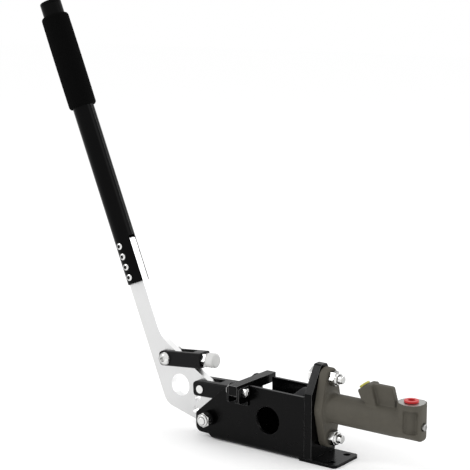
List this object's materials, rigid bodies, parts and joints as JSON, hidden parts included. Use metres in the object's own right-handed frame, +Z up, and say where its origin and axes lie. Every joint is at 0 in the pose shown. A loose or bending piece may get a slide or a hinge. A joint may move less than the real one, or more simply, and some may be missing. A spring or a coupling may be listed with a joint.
{
  "type": "hydraulic parking brake lever",
  "caption": "Upright hydraulic parking brake lever on a folded steel bracket, with foam grip, stop strut, swing gate and a horizontal master cylinder.",
  "frame": {"origin": "centre of the bracket's flat underside", "axes": "+Z up out of the mounting face, +X from the lever towards the master cylinder, -Y the side with the gate's hinge"},
  "size_m": [0.4586, 0.0644, 0.4227],
  "materials": {
    "black_coat": "gloss powder coat",
    "black_tube": "gloss black anodised tube",
    "lever_aluminium": "satin machined",
    "cast_grey": "matt grey-olive casting",
    "zinc": "bright zinc",
    "foam": "matt closed-cell foam",
    "rubber": "matt",
    "white_rubber": "satin white",
    "spring_steel": "plain",
    "red_plastic": "satin",
    "yellow_plastic": "satin",
    "bronze": "sintered"
  },
  "bodies": {
    "frame": {"base_bracket": "black_coat", "rear_mount_plate": "black_coat", "gate_hinge_ears": "black_coat", "gate_hinge_bolt": "zinc", "gate_hinge_nut": "zinc", "pivot_bolt": "zinc", "pivot_nut": "zinc", "pivot_washer_near": "black_coat", "pivot_washer_far": "zinc", "pivot_spacer_near": "zinc", "pivot_spacer_far": "zinc", "cylinder_body": "cast_grey", "flange_bolt_lower": "zinc", "flange_bolt_upper": "zinc", "flange_nut_lower": "zinc", "flange_nut_upper": "zinc", "dust_boot": "rubber", "circlip": "spring_steel", "piston_stop_washer": "zinc", "return_spring": "spring_steel", "outlet_port_plug": "red_plastic", "reservoir_port_plug": "yellow_plastic", "bleed_screw": "zinc"},
    "lever": {"lever_plate": "lever_aluminium", "pivot_bush": "bronze", "handle_tube": "black_tube", "handle_screw_1": "zinc", "handle_screw_2": "zinc", "handle_screw_3": "zinc", "handle_screw_4": "zinc", "foam_grip": "foam", "tube_end_cap": "black_tube", "stop_strut": "black_coat", "strut_bolt": "zinc", "strut_nut": "zinc", "bumper_stud": "zinc", "bumper_lock_nut": "zinc", "bumper_pad": "white_rubber"},
    "pushrod": {"pushrod_clevis": "black_coat", "clevis_pin": "zinc", "clevis_pin_clip": "spring_steel", "pushrod": "zinc", "pushrod_jam_nut": "zinc"},
    "piston": {"piston": "lever_aluminium", "secondary_seal": "rubber", "primary_seal": "rubber"},
    "gate": {"gate_bar": "black_coat"}
  },
  "joints": [
    {"name": "lever_pivot", "type": "hinge", "parent": "frame", "child": "lever", "pos_m": [-0.0735, 0, 0.021], "axis": [0, 1, 0], "range_deg": [0, 30]},
    {"name": "clevis_hinge", "type": "hinge", "parent": "lever", "child": "pushrod", "pos_m": [-0.09199, 0, 0.0445], "axis": [0, 1, 0], "range_deg": [-27.6, 0]},
    {"name": "piston_slide", "type": "slide", "parent": "frame", "child": "piston", "axis": [1, 0, 0], "range_m": [0, 0.0146], "deforming": ["return_spring"]},
    {"name": "gate_swing", "type": "hinge", "parent": "frame", "child": "gate", "pos_m": [-0.0382, -0.028, 0.0573], "axis": [1, 0, 0], "range_deg": [0, 90]}
  ],
  "couplings": [
    {"joint": "clevis_hinge", "follows": "lever_pivot", "ratio": -0.913},
    {"joint": "piston_slide", "follows": "lever_pivot", "m_per_rad": 0.0276}
  ]
}
